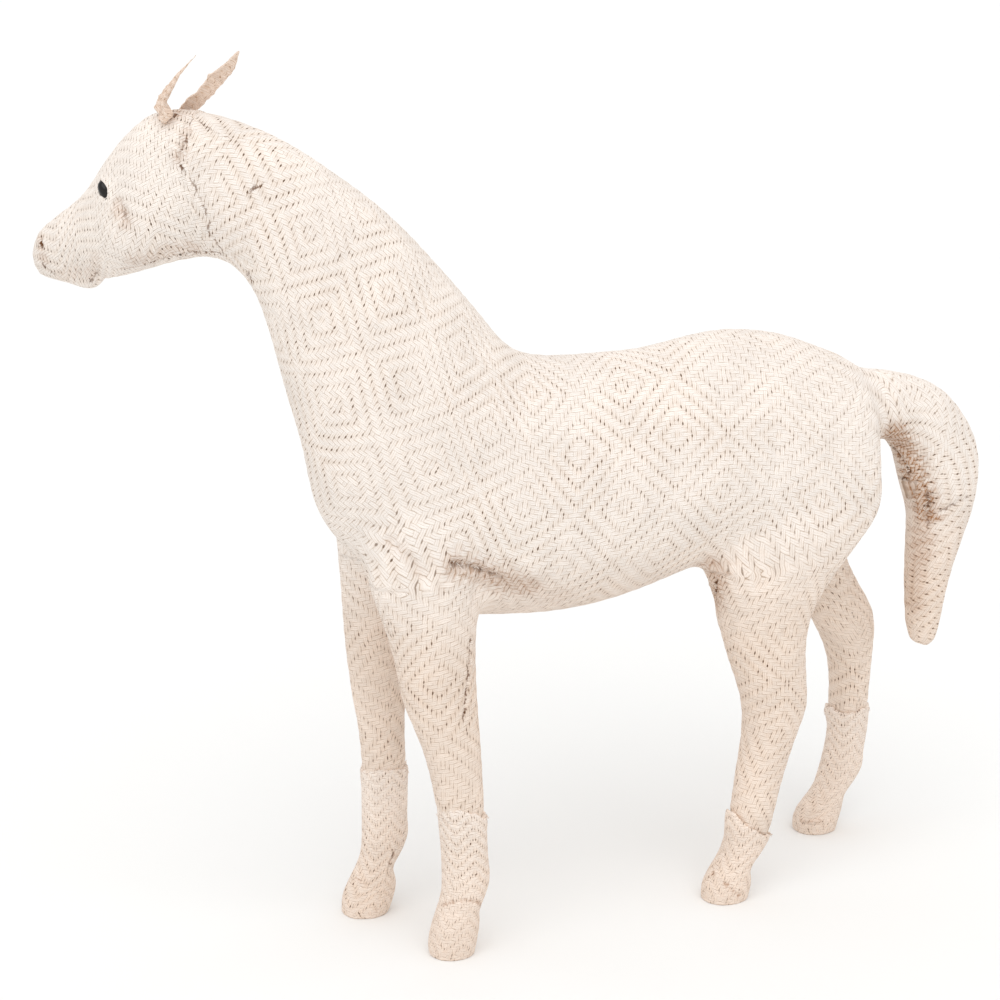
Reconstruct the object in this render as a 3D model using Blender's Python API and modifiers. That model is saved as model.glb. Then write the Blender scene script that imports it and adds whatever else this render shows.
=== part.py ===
"""Standing horse figure with a skin of woven paper strands, about 0.7 m tall to the ear tips.

The horse faces -X and its left side is at -Y.  The origin is on the floor under the middle of its box.
"""
from math import cos, exp, pi, radians, sin

import bmesh
import bpy
from mathutils import Matrix, Vector

# Driving size: the height of the withers above the floor, in metres.
WITHERS_HEIGHT = 0.463

# The figure is drawn as shares of its own height: thousandths of a metre at this withers height.
# Every number below without a unit of its own is such a share, and follows WITHERS_HEIGHT.
DRAWN_HEIGHT = 463.0
DRAWN_FLOOR = -3.0
UNIT = WITHERS_HEIGHT / DRAWN_HEIGHT

# Fits and sheet thicknesses, in metres.
GAP = 0.0003
EAR_THICKNESS = 0.0022
SLEEVE_PROUD = 0.0012

# Surface resolution: the grid of the one skin, its smoothing passes, and flat triangles a whole form.
VOXEL = 4.2
SMOOTHINGS = 20
BODY_FORM_TRIANGLES = 6000
HEAD_FORM_TRIANGLES = 15500
SLEEVE_FORM_TRIANGLES = 6600
RING_POINTS = 28
RING_STEPS = 3
MASS_SEGMENTS = 20
EYE_SEGMENTS = 12
EAR_COLUMNS = 5
EAR_ROWS = 8

# Rounded ends of the trunk and of the tail: how far they reach past the last ring, and the rings there
# as pairs of shrinkage and share of that reach.
SPINE_END_REACH = 6.5
TAIL_END_REACH = 7.0
END_RINGS = [(0.12, 0.45), (0.35, 0.8), (0.7, 1.0)]

# The neck and head turn to the horse's right: the turn starts above the chest and ends at the poll.
TURN_START_X = -45.0
TURN_LENGTH = 155.0
TURN_ANGLE = radians(45.0)
TURN_STEPS = 60

# Trunk, neck and head: top x, top z, bottom x, bottom z, half width, drop of the widest level.
SPINE = [
    (346, 411, 350, 328, 24, 0.00),
    (336, 427, 347, 297, 44, 0.05),
    (304, 442, 314, 270, 58, 0.10),
    (268, 456, 274, 250, 66, 0.10),
    (230, 463, 236, 258, 68, 0.12),
    (196, 462, 200, 277, 68, 0.15),
    (151, 455, 155, 266, 71, 0.15),
    (107, 455, 110, 256, 74, 0.15),
    (63, 457, 61, 252, 75, 0.15),
    (27, 469, 11, 256, 73, 0.18),
    (-2, 504, -36, 266, 68, 0.25),
    (-36, 544, -102, 315, 61, 0.28),
    (-64, 574, -129, 354, 54, 0.25),
    (-87, 595, -138, 400, 47, 0.25),
    (-109, 611, -151, 449, 42, 0.20),
    (-134, 628, -162, 497, 38, 0.12),
    (-163, 642, -177, 531, 35, 0.05),
    (-195, 651, -204, 544, 34, 0.00),
    (-223, 655, -242, 536, 34, -0.05),
    (-252, 651, -275, 525, 34, -0.10),
    (-279, 627, -302, 518, 31, -0.20),
    (-306, 591, -324, 515, 25, -0.15),
    (-332, 571, -342, 517, 21, 0.00),
    (-347, 560, -351, 519, 18, 0.00),
]

# Tail, in the middle plane: the same six numbers, from inside the rump to the tip.
TAIL = [
    (342, 420, 346, 356, 24, 0.0),
    (383, 413, 366, 357, 25, 0.0),
    (425, 395, 379, 349, 26, 0.0),
    (456, 357, 385, 331, 27, 0.0),
    (464, 322, 389, 315, 27, 0.0),
    (458, 287, 399, 288, 26, 0.0),
    (445, 253, 399, 254, 23, 0.0),
    (436, 219, 399, 220, 19, 0.0),
    (433, 190, 400, 190, 15, 0.0),
    (429, 166, 406, 166, 9, 0.0),
]

# Legs from below the sole to inside the trunk: z, centre x, half depth, centre y, half width.
LEFT_FORE = [
    (-12, -45, 17.0, -51, 16.5),
    (6, -44, 19.6, -51, 19.0),
    (20, -41.5, 19.4, -51, 18.5),
    (33, -37.5, 18.0, -51, 17.5),
    (46, -33, 18.2, -51, 17.5),
    (65, -32.5, 18.2, -51, 17.5),
    (85, -33.3, 18.2, -51, 17.0),
    (116, -36, 19.8, -51, 18.0),
    (154, -41, 22.6, -51, 20.0),
    (174, -44.5, 25.0, -50, 21.0),
    (208, -52, 31.0, -48, 23.0),
    (238, -54.5, 33.0, -46, 25.0),
    (264, -57, 37.0, -44, 27.0),
    (302, -61, 45.0, -41, 30.0),
    (345, -66, 46.0, -36, 32.0),
    (392, -70, 38.0, -29, 28.0),
]
RIGHT_FORE = [
    (-12, -77, 17.5, 51, 16.5),
    (6, -74.5, 21.5, 51, 19.0),
    (18, -70.5, 21.5, 51, 18.5),
    (32, -66, 17.8, 51, 17.0),
    (47, -60.5, 16.6, 51, 16.5),
    (81, -57.5, 18.6, 51, 17.0),
    (116, -57.5, 19.0, 51, 17.5),
    (150, -59.4, 19.4, 51, 18.5),
    (185, -62, 23.5, 50, 20.0),
    (235, -63, 29.0, 47, 23.0),
    (268, -61, 33.5, 44, 26.0),
    (302, -58, 40.0, 41, 30.0),
    (345, -60, 42.0, 36, 32.0),
    (392, -66, 36.0, 29, 28.0),
]
LEFT_HIND = [
    (-12, 202, 18.0, -48, 17.0),
    (6, 203, 21.4, -48, 19.5),
    (20, 208, 19.0, -48, 18.5),
    (35, 218, 17.8, -48, 17.5),
    (52, 223.5, 19.0, -48, 17.5),
    (69, 226.5, 20.0, -48, 18.0),
    (103, 233, 22.0, -48, 19.0),
    (134, 241, 25.0, -48, 20.5),
    (155, 245.5, 29.5, -48, 21.5),
    (173, 243, 30.5, -48, 23.0),
    (206, 236, 35.0, -47, 26.0),
    (240, 236, 44.0, -45, 29.0),
    (276, 248, 64.0, -41, 32.0),
    (313, 268, 79.0, -36, 33.0),
    (366, 277, 65.0, -30, 32.0),
    (402, 283, 48.0, -22, 24.0),
]
RIGHT_HIND = [
    (-12, 345, 17.0, 48, 17.0),
    (6, 346, 20.8, 48, 19.5),
    (16, 350, 19.8, 48, 18.5),
    (31, 361, 16.0, 48, 17.0),
    (47, 368, 17.4, 48, 17.0),
    (83, 376, 16.8, 48, 17.5),
    (102, 375, 19.0, 48, 18.0),
    (122, 376, 18.4, 48, 18.0),
    (156, 375, 21.6, 48, 20.0),
    (190, 366, 30.5, 47, 23.0),
    (222, 345, 32.0, 46, 26.0),
    (254, 318, 42.0, 43, 30.0),
    (300, 296, 58.0, 39, 32.0),
    (350, 283, 66.0, 33, 32.0),
    (402, 283, 48.0, 22, 24.0),
]

# Rounded masses, drawn before the turn of the neck: x, y, z, then the three half sizes.
MASSES = [
    (-262, -19, 571, 33, 17, 36),
    (-262, 19, 571, 33, 17, 36),
    (-270, -21, 595, 13, 12, 11),
    (-270, 21, 595, 13, 12, 11),
    (-339, -12, 545, 11, 9, 12),
    (-339, 12, 545, 11, 9, 12),
    (-312, 0, 521, 16, 13, 10),
]

# Pressed folds of the skin: points x, y, z, then the half breadth and the depth.
FOLDS = [
    ([(-24, -62, 292), (4, -64, 279), (24, -58, 266)], 7.0, 5.0),
    ([(196, -52, 290), (203, -46, 262), (206, -40, 245)], 8.0, 4.5),
    ([(196, 52, 290), (203, 46, 262), (206, 40, 245)], 8.0, 4.5),
    ([(385, -10, 352), (396, -22, 335), (398, -20, 318)], 6.0, 4.0),
    ([(418, -26, 306), (422, -25, 284), (420, -23, 262)], 7.0, 3.0),
]
HEAD_FOLDS = [
    ([(-352, -14, 528), (-341, -17, 524), (-331, -17, 522)], 3.2, 2.4),
    ([(-352, 14, 528), (-341, 17, 524), (-331, 17, 522)], 3.2, 2.4),
    ([(-297, -16, 527), (-295, 0, 516), (-297, 16, 527)], 4.0, 3.0),
    ([(-349, -10, 547), (-346, -17, 546)], 3.2, 2.2),
    ([(-349, 10, 547), (-346, 17, 546)], 3.2, 2.2),
    ([(-267, -33, 590), (-264, -34, 580)], 5.0, 1.5),
    ([(-267, 33, 590), (-264, 34, 580)], 5.0, 1.5),
]

# The seam of the head cover, top x and z, then bottom x and z, and the reach of its cutter.
HEAD_SEAM = (-219, 668, -199, 536)
HEAD_CUTTER_FRONT = -480.0
HEAD_CUTTER_HALF = 110.0
HEAD_CUTTER_LEVELS = (430.0, 800.0)

# Leg sleeves: foot centre x and y, cuff height in front and behind.
SLEEVES = {
    "left_fore_sleeve": (-44, -51, 107, 111),
    "right_fore_sleeve": (-66, 51, 114, 116),
    "left_hind_sleeve": (215, -48, 74, 43),
    "right_hind_sleeve": (358, 48, 97, 104),
}
SLEEVE_CUTTER = 94.0
SLEEVE_CUTTER_LOW = -60.0

# Eyes: centre on the right side, half length, half height and half bulge, and the slant of the length.
EYE_CENTRE = (-279, 28.5, 595)
EYE_HALF = (8.0, 5.0, 5.6)
EYE_TILT = radians(60.0)

# Ears: root, tip, greatest half width, fold of the leaf across its width, and turn of its open side.
EARS = {
    "left_ear": ((-248, -17, 642), (-208, -20, 699), 8.5, radians(60.0), radians(-58.0)),
    "right_ear": ((-242, 17, 640), (-190, 21, 696), 11.0, radians(43.0), radians(40.0)),
}
EAR_ROOT_SHARE = 0.68
EAR_WIDEST_AT = 0.33

PAPER = (0.80, 0.72, 0.63, 1.0)
EAR_PAPER = (0.62, 0.48, 0.35, 1.0)
GLASS = (0.012, 0.011, 0.012, 1.0)


def clear_scene():
    for old in list(bpy.data.objects):
        bpy.data.objects.remove(old, do_unlink=True)


def new_collection(name):
    collection = bpy.data.collections.new(name)
    bpy.context.scene.collection.children.link(collection)
    return collection


def new_object(name, mesh, collection, parent=None):
    made = bpy.data.objects.new(name, mesh)
    collection.objects.link(made)
    made.parent = parent
    return made


def new_material(name, colour, roughness):
    material = bpy.data.materials.new(name)
    material.use_nodes = True
    shader = material.node_tree.nodes["Principled BSDF"]
    shader.inputs["Base Color"].default_value = colour
    shader.inputs["Roughness"].default_value = roughness
    shader.inputs["Metallic"].default_value = 0.0
    return material


def smooth_share(share):
    share = min(max(share, 0.0), 1.0)
    return share * share * (3.0 - 2.0 * share)


def turn_at(x):
    """Plan position of the spine and its turn, for a place x along the spine as drawn straight."""
    if x >= TURN_START_X:
        return Vector((x, 0.0, 0.0)), 0.0
    reach = TURN_START_X - x
    step = reach / TURN_STEPS
    place = Vector((TURN_START_X, 0.0, 0.0))
    for index in range(TURN_STEPS):
        angle = TURN_ANGLE * smooth_share((index + 0.5) * step / TURN_LENGTH)
        place += step * Vector((-cos(angle), sin(angle), 0.0))
    return place, TURN_ANGLE * smooth_share(reach / TURN_LENGTH)


def turned(x, y, z, ring_x):
    """A point drawn on the straight spine, moved with the ring that it belongs to."""
    place, angle = turn_at(ring_x)
    ahead = Vector((cos(angle), -sin(angle), 0.0))
    aside = Vector((sin(angle), cos(angle), 0.0))
    point = place + ahead * (x - ring_x) + aside * y
    point.z = z
    return point * UNIT


def between(stations, steps):
    """Stations with steps between each two, on a smooth curve through them all."""
    found = []
    last = len(stations) - 1
    for index in range(last):
        before = stations[max(index - 1, 0)]
        start = stations[index]
        end = stations[index + 1]
        after = stations[min(index + 2, last)]
        for step in range(steps):
            t = step / steps
            found.append([
                0.5 * (2 * b + (c - a) * t + (2 * a - 5 * b + 4 * c - d) * t ** 2
                       + (3 * b - a - 3 * c + d) * t ** 3)
                for a, b, c, d in zip(before, start, end, after)])
    found.append(list(stations[last]))
    return found


def loft(form, rings):
    """A closed body through the rings, each of them a list of points that starts at the same place."""
    loops = [[form.verts.new(point) for point in ring] for ring in rings]
    for lower, upper in zip(loops, loops[1:]):
        for index in range(len(lower)):
            after = (index + 1) % len(lower)
            form.faces.new((lower[index], lower[after], upper[after], upper[index]))
    form.faces.new(list(reversed(loops[0])))
    form.faces.new(loops[-1])


def profile_ring(station, cap=0.0, reach=0.0):
    """Ring of a trunk or tail station; cap shrinks it and reach moves it on, for a rounded end."""
    top_x, top_z, bottom_x, bottom_z, half_width, drop = station
    middle = Vector(((top_x + bottom_x) / 2, 0.0, (top_z + bottom_z) / 2))
    rise = Vector((top_x - bottom_x, 0.0, top_z - bottom_z)) / 2
    onward = Vector((rise.z, 0.0, -rise.x)).normalized() * reach
    points = []
    for index in range(RING_POINTS):
        angle = 2 * pi * index / RING_POINTS
        level = sin(angle) * (1 - cap)
        breadth = cos(angle) * (1 - cap) * half_width * (1 - drop * sin(angle))
        spot = middle + rise * level + onward
        points.append(turned(spot.x, breadth, spot.z, middle.x))
    return points


def profile_body(form, stations, end_reach):
    """Trunk or tail with both ends rounded by shrinking rings."""
    rings = [profile_ring(station) for station in between(stations, RING_STEPS)]
    start = [profile_ring(stations[0], cap, end_reach * reach) for cap, reach in reversed(END_RINGS)]
    end = [profile_ring(stations[-1], cap, -end_reach * reach) for cap, reach in END_RINGS]
    loft(form, start + rings + end)


def leg_body(form, stations):
    rings = []
    for z, x, half_depth, y, half_width in between(stations, RING_STEPS):
        ring = []
        for index in range(RING_POINTS):
            angle = 2 * pi * index / RING_POINTS
            ring.append(Vector((x + half_depth * cos(angle), y + half_width * sin(angle), z)) * UNIT)
        rings.append(ring)
    loft(form, rings)


def mass_body(form, x, y, z, half_x, half_y, half_z):
    """A rounded mass: a sphere, stretched and turned with the spine."""
    made = bmesh.ops.create_uvsphere(form, u_segments=MASS_SEGMENTS, v_segments=12, radius=1.0)
    for vertex in made["verts"]:
        spot = vertex.co
        vertex.co = turned(x + half_x * spot.x, y + half_y * spot.y, z + half_z * spot.z, x)


def nearest_on_path(point, path):
    best = None
    for start, end in zip(path, path[1:]):
        run = end - start
        share = min(max((point - start).dot(run) / run.length_squared, 0.0), 1.0)
        offset = (point - (start + run * share)).length
        if best is None or offset < best:
            best = offset
    return best


def press_folds(mesh, folds, turn):
    """Push the skin in along each fold, deepest on its line and fading across its breadth."""
    for points, half_breadth, depth in folds:
        path = [turned(x, y, z, x if turn else 0.0) for x, y, z in points]
        reach = 2.2 * half_breadth * UNIT
        pushes = {}
        for vertex in mesh.vertices:
            offset = nearest_on_path(vertex.co, path)
            if offset < reach:
                share = offset / (half_breadth * UNIT)
                pushes[vertex.index] = vertex.normal * (-depth * UNIT * exp(-share * share))
        for index, push in pushes.items():
            mesh.vertices[index].co += push


def evaluated_mesh(source):
    graph = bpy.context.evaluated_depsgraph_get()
    graph.update()
    return bpy.data.meshes.new_from_object(source.evaluated_get(graph))


def horse_form(guides):
    """The whole horse as one closed skin, before its covers are cut from it."""
    form = bmesh.new()
    profile_body(form, SPINE, SPINE_END_REACH)
    profile_body(form, TAIL, TAIL_END_REACH)
    for stations in (LEFT_FORE, RIGHT_FORE, LEFT_HIND, RIGHT_HIND):
        leg_body(form, stations)
    for mass in MASSES:
        mass_body(form, *mass)
    bmesh.ops.recalc_face_normals(form, faces=form.faces)
    mesh = bpy.data.meshes.new("horse_form")
    form.to_mesh(mesh)
    form.free()
    rough = new_object("form_guide", mesh, guides)
    remesh = rough.modifiers.new("one skin", "REMESH")
    remesh.mode = "VOXEL"
    remesh.voxel_size = VOXEL * UNIT
    smooth = rough.modifiers.new("soften joins", "SMOOTH")
    smooth.factor = 0.5
    smooth.iterations = SMOOTHINGS
    fine = evaluated_mesh(rough)
    bpy.data.objects.remove(rough, do_unlink=True)
    press_folds(fine, FOLDS, False)
    press_folds(fine, HEAD_FOLDS, True)
    return fine


def faceted(fine, triangles, swell, guides):
    """The skin in about so many flat triangles, swollen outward by a layer of the given thickness."""
    guide = new_object("facet_guide", fine, guides)
    fewer = guide.modifiers.new("fewer faces", "DECIMATE")
    fewer.ratio = triangles / sum(len(face.vertices) - 2 for face in fine.polygons)
    fewer.use_collapse_triangulate = True
    mesh = evaluated_mesh(guide)
    bpy.data.objects.remove(guide, do_unlink=True)
    pushes = [vertex.normal * swell for vertex in mesh.vertices]
    for vertex, push in zip(mesh.vertices, pushes):
        vertex.co += push
    return mesh


def box_cutter(name, guides, holder, corners):
    """A closed cutter from eight corners: four below, then the four above them."""
    shape = bmesh.new()
    loft(shape, [corners[:4], corners[4:]])
    bmesh.ops.recalc_face_normals(shape, faces=shape.faces)
    mesh = bpy.data.meshes.new(name)
    shape.to_mesh(mesh)
    shape.free()
    cutter = new_object(name, mesh, guides, holder)
    cutter.hide_render = True
    cutter.display_type = "WIRE"
    return cutter


def cut(piece, cutter, operation):
    boolean = piece.modifiers.new(operation.lower() + " " + cutter.name, "BOOLEAN")
    boolean.operation = operation
    boolean.solver = "EXACT"
    boolean.object = cutter


def sleeve_corners(x, y, front, back, gap):
    """Corners of a leg cutter: down to the floor when gap is 0, and past it for the cut in the body."""
    half = SLEEVE_CUTTER / 2
    low = DRAWN_FLOOR if gap == 0.0 else SLEEVE_CUTTER_LOW
    rise = gap / UNIT
    corners = []
    for level in (0, 1):
        for side_x, side_y in ((-1, -1), (1, -1), (1, 1), (-1, 1)):
            share = (side_x + 1) / 2
            slope = front + (back - front) * share
            z = low if level == 0 else slope + rise
            corners.append(Vector((x + side_x * half, y + side_y * half, z)) * UNIT)
    return corners


def head_corners(gap):
    """Corners of the head cutter, whose back face is the seam plane moved back by the gap."""
    top_x, top_z, bottom_x, bottom_z = HEAD_SEAM
    middle_x = (top_x + bottom_x) / 2
    lean = (top_x - bottom_x) / (top_z - bottom_z)
    corners = []
    half = HEAD_CUTTER_HALF
    for z in HEAD_CUTTER_LEVELS:
        seam_x = middle_x + (z - (top_z + bottom_z) / 2) * lean + gap / UNIT
        for x, y in ((HEAD_CUTTER_FRONT, -half), (seam_x, -half), (seam_x, half), (HEAD_CUTTER_FRONT, half)):
            corners.append(turned(x, y, z, middle_x))
    return corners


def eye_object(name, side, collection, holder, grow):
    """A black glass eye, an egg set on the side of the head; grow widens it into its socket."""
    shape = bmesh.new()
    bmesh.ops.create_uvsphere(shape, u_segments=EYE_SEGMENTS, v_segments=8, radius=1.0)
    x, y, z = EYE_CENTRE
    length, height, bulge = (half * UNIT + grow for half in EYE_HALF)
    for vertex in shape.verts:
        along = length * vertex.co.x
        up = height * vertex.co.z
        spot_x = (along * cos(EYE_TILT) + up * sin(EYE_TILT)) / UNIT
        spot_z = (up * cos(EYE_TILT) - along * sin(EYE_TILT)) / UNIT
        spot_y = bulge * vertex.co.y / UNIT
        vertex.co = turned(x + spot_x, side * y + spot_y, z + spot_z, x)
    bmesh.ops.recalc_face_normals(shape, faces=shape.faces)
    mesh = bpy.data.meshes.new(name)
    shape.to_mesh(mesh)
    shape.free()
    mesh.shade_smooth()
    return new_object(name, mesh, collection, holder)


def ear_breadth(share):
    """Half width of an ear at a share of its length, as a share of its greatest half width."""
    if share < EAR_WIDEST_AT:
        return EAR_ROOT_SHARE + (1 - EAR_ROOT_SHARE) * smooth_share(share / EAR_WIDEST_AT)
    return 1 - 0.9 * ((share - EAR_WIDEST_AT) / (1 - EAR_WIDEST_AT)) ** 2.2


def ear_object(name, collection, holder):
    """A leaf of woven paper, folded round its length, with its open side turned as its row says."""
    root, tip, half_width, fold, facing = EARS[name]
    foot = turned(*root, root[0])
    run = turned(*tip, tip[0]) - foot
    ahead = run.normalized()
    angle = turn_at(root[0])[1]
    aside = Vector((sin(angle), cos(angle), 0.0))
    across = Matrix.Rotation(facing, 3, ahead) @ aside.cross(ahead).normalized()
    open_to = ahead.cross(across)
    shape = bmesh.new()
    bmesh.ops.create_grid(shape, x_segments=EAR_COLUMNS, y_segments=EAR_ROWS, size=1.0)
    for vertex in shape.verts:
        share = (vertex.co.y + 1) / 2
        breadth = half_width * UNIT * ear_breadth(share)
        bend = vertex.co.x * fold
        side = breadth * sin(bend) / fold
        dish = breadth * (cos(bend) - 1) / fold
        vertex.co = foot + run * share + across * side + open_to * dish
    mesh = bpy.data.meshes.new(name)
    shape.to_mesh(mesh)
    shape.free()
    ear = new_object(name, mesh, collection, holder)
    wall = ear.modifiers.new("sheet", "SOLIDIFY")
    wall.thickness = EAR_THICKNESS
    wall.offset = 0.0
    return ear


def dress(piece, material):
    piece.data.materials.clear()
    piece.data.materials.append(material)


def centre_on_floor(holder, parts):
    """Move the figure so that its box stands centred on the origin."""
    graph = bpy.context.evaluated_depsgraph_get()
    graph.update()
    corners = []
    for part in parts:
        ready = part.evaluated_get(graph)
        corners += [ready.matrix_world @ vertex.co for vertex in ready.data.vertices]
    low = Vector([min(corner[axis] for corner in corners) for axis in range(3)])
    high = Vector([max(corner[axis] for corner in corners) for axis in range(3)])
    holder.location = Vector((-(low.x + high.x) / 2, -(low.y + high.y) / 2, -low.z))


def build_horse():
    clear_scene()
    parts = new_collection("paper_horse")
    guides = new_collection("cutters")
    paper = new_material("woven paper", PAPER, 0.85)
    ear_paper = new_material("woven ear paper", EAR_PAPER, 0.85)
    glass = new_material("black glass", GLASS, 0.08)
    holder = new_object("figure", None, parts)
    fine = horse_form(guides)
    body = new_object("body", faceted(fine, BODY_FORM_TRIANGLES, 0.0, guides), parts, holder)
    head = new_object("head", faceted(fine, HEAD_FORM_TRIANGLES, 0.0, guides), parts, holder)
    dress(body, paper)
    dress(head, paper)
    cut(head, box_cutter("head_cutter", guides, holder, head_corners(0.0)), "INTERSECT")
    cut(body, box_cutter("head_room_cutter", guides, holder, head_corners(GAP)), "DIFFERENCE")
    pieces = [body, head]

    sleeved = faceted(fine, SLEEVE_FORM_TRIANGLES, SLEEVE_PROUD, guides)
    for name, (x, y, front, back) in SLEEVES.items():
        sleeve = new_object(name, sleeved.copy(), parts, holder)
        dress(sleeve, paper)
        cutter = box_cutter(name + "_cutter", guides, holder, sleeve_corners(x, y, front, back, 0.0))
        room = box_cutter(name + "_room_cutter", guides, holder, sleeve_corners(x, y, front, back, GAP))
        cut(sleeve, cutter, "INTERSECT")
        cut(body, room, "DIFFERENCE")
        pieces.append(sleeve)

    for name, side in (("left_eye", -1), ("right_eye", 1)):
        eye = eye_object(name, side, parts, holder, 0.0)
        dress(eye, glass)
        socket = eye_object(name + "_socket_cutter", side, guides, holder, GAP)
        socket.hide_render = True
        socket.display_type = "WIRE"
        cut(head, socket, "DIFFERENCE")
        pieces.append(eye)

    skull = faceted(fine, HEAD_FORM_TRIANGLES, GAP, guides)
    ear_room = new_object("ear_room_cutter", skull, guides, holder)
    ear_room.hide_render = True
    ear_room.display_type = "WIRE"
    for name in EARS:
        ear = ear_object(name, parts, holder)
        dress(ear, ear_paper)
        cut(ear, ear_room, "DIFFERENCE")
        pieces.append(ear)

    centre_on_floor(holder, pieces)


build_horse()
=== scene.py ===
"""A standing horse figure covered in woven paper strands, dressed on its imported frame.

The horse faces -X and its left side is at -Y.  Lengths are in metres unless a line says millimetres.
"""

import random
from functools import partial
from math import cos, pi, radians, sin

import bmesh
import bpy
import numpy as np
from mathutils import Matrix, Vector
from mathutils.bvhtree import BVHTree


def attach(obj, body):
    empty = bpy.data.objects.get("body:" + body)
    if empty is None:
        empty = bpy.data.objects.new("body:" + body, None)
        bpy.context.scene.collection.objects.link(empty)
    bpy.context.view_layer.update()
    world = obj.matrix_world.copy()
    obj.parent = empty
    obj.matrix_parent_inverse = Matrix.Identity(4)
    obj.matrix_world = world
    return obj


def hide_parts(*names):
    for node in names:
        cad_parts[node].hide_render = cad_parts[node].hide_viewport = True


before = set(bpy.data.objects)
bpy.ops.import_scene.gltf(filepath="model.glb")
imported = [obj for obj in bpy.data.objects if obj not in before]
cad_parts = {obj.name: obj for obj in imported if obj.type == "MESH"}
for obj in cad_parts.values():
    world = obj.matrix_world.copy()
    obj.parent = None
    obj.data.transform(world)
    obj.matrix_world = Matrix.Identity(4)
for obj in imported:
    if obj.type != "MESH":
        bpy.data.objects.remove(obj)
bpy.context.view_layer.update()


# The cover of neck, trunk, upper legs and tail
# One cloth of pale paper strands, twisted by hand and woven in a goose-eye twill: rings of diamonds.
# It is drawn tight over the stuffed form, and its edges are turned in under the head cover and the cuffs.
RINGS_ALONG = 12  # strands from one centre of the diamonds to the next, along the horse
RINGS_ROUND = 14  # and round it
FIGURE_ORIGIN = np.array([-81.91, -49.01, 3.0])  # millimetres, where the middle plane crosses the withers
NECK_TURN_AT = -45.0
NECK_TURN_LENGTH = 155
NECK_TURN = radians(45.0)
BODY_CELL = 0.00264  # how fine the mesh of the cover is
RIB_DEPTH = 0.00034  # of the weave's diagonal ribs
RIB_MIDDLE = 0.7  # the share of a rib's height that lies in the skin itself
RIM_ANGLE = radians(55.0)  # edges of the solids that turn more than this stay sharp

# Sections of trunk and neck, in millimetres on the straight horse: top x and z, bottom x and z, half width,
# and how far below the middle the widest level lies.
TRUNK = [
    (346, 411, 350, 328, 24, 0.00),
    (304, 442, 314, 270, 58, 0.10),
    (230, 463, 236, 258, 68, 0.12),
    (151, 455, 155, 266, 71, 0.15),
    (63, 457, 61, 252, 75, 0.15),
    (27, 469, 11, 256, 73, 0.18),
    (-2, 504, -36, 266, 68, 0.25),
    (-36, 544, -102, 315, 61, 0.28),
    (-87, 595, -138, 400, 47, 0.25),
    (-134, 628, -162, 497, 38, 0.12),
    (-195, 651, -204, 544, 34, 0.00),
    (-252, 651, -275, 525, 34, -0.10),
]
TAIL = [
    (342, 420, 346, 356, 24, 0.0),
    (383, 413, 366, 357, 25, 0.0),
    (425, 395, 379, 349, 26, 0.0),
    (456, 357, 385, 331, 27, 0.0),
    (464, 322, 389, 315, 27, 0.0),
    (445, 253, 399, 254, 23, 0.0),
    (433, 190, 400, 190, 15, 0.0),
    (429, 166, 406, 166, 9, 0.0),
]
# Legs from the sole up: height, middle x, half depth, middle y, half width; each joins the trunk at its
# last row but one.
LEGS = {
    "left_fore": [
        (-12, -45, 17, -51, 17), (6, -44, 20, -51, 19), (33, -38, 18, -51, 18), (85, -33, 18, -51, 17),
        (154, -41, 23, -51, 20), (208, -52, 31, -48, 23), (264, -57, 37, -44, 27), (302, -61, 45, -41, 30),
        (345, -66, 46, -36, 32),
    ],
    "right_fore": [
        (-12, -77, 18, 51, 17), (6, -74, 22, 51, 19), (32, -66, 18, 51, 17), (81, -58, 19, 51, 17),
        (150, -59, 19, 51, 19), (235, -63, 29, 47, 23), (268, -61, 34, 44, 26), (302, -58, 40, 41, 30),
        (345, -60, 42, 36, 32),
    ],
    "left_hind": [
        (-12, 202, 18, -48, 17), (6, 203, 21, -48, 20), (35, 218, 18, -48, 18), (103, 233, 22, -48, 19),
        (155, 246, 30, -48, 22), (206, 236, 35, -47, 26), (240, 236, 44, -45, 29), (276, 248, 64, -41, 32),
        (313, 268, 79, -36, 33),
    ],
    "right_hind": [
        (-12, 345, 17, 48, 17), (6, 346, 21, 48, 20), (31, 361, 16, 48, 17), (83, 376, 17, 48, 18),
        (156, 375, 22, 48, 20), (190, 366, 31, 47, 23), (222, 345, 32, 46, 26), (254, 318, 42, 43, 30),
        (300, 296, 58, 39, 32),
    ],
}


def eased(share):
    share = np.clip(share, 0.0, 1.0)
    return share * share * (3.0 - 2.0 * share)


def filled_in(rows, steps):
    """Rows of a table with steps between each two, on a smooth curve through them all."""
    rows = np.array(rows, float)
    last = len(rows) - 1
    place = np.linspace(0, last, last * steps + 1)
    low = np.minimum(place.astype(int), last - 1)
    t = (place - low)[:, None]
    a, b, c, d = (rows[np.clip(low + step, 0, last)] for step in (-1, 0, 1, 2))
    square = 2 * a - 5 * b + 4 * c - d
    cube = 3 * b - a - 3 * c + d
    return 0.5 * (2 * b + (c - a) * t + square * t ** 2 + cube * t ** 3)


NECK_REACH = np.arange(0.0, 331.0)
NECK_TURNS = NECK_TURN * eased(NECK_REACH / NECK_TURN_LENGTH)
HALF_WAY_TURNS = NECK_TURN * eased((NECK_REACH[1:] - 0.5) / NECK_TURN_LENGTH)
NECK_LINE = np.stack([NECK_TURN_AT - np.concatenate([[0.0], np.cumsum(np.cos(HALF_WAY_TURNS))]),
                      np.concatenate([[0.0], np.cumsum(np.sin(HALF_WAY_TURNS))])])


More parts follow.
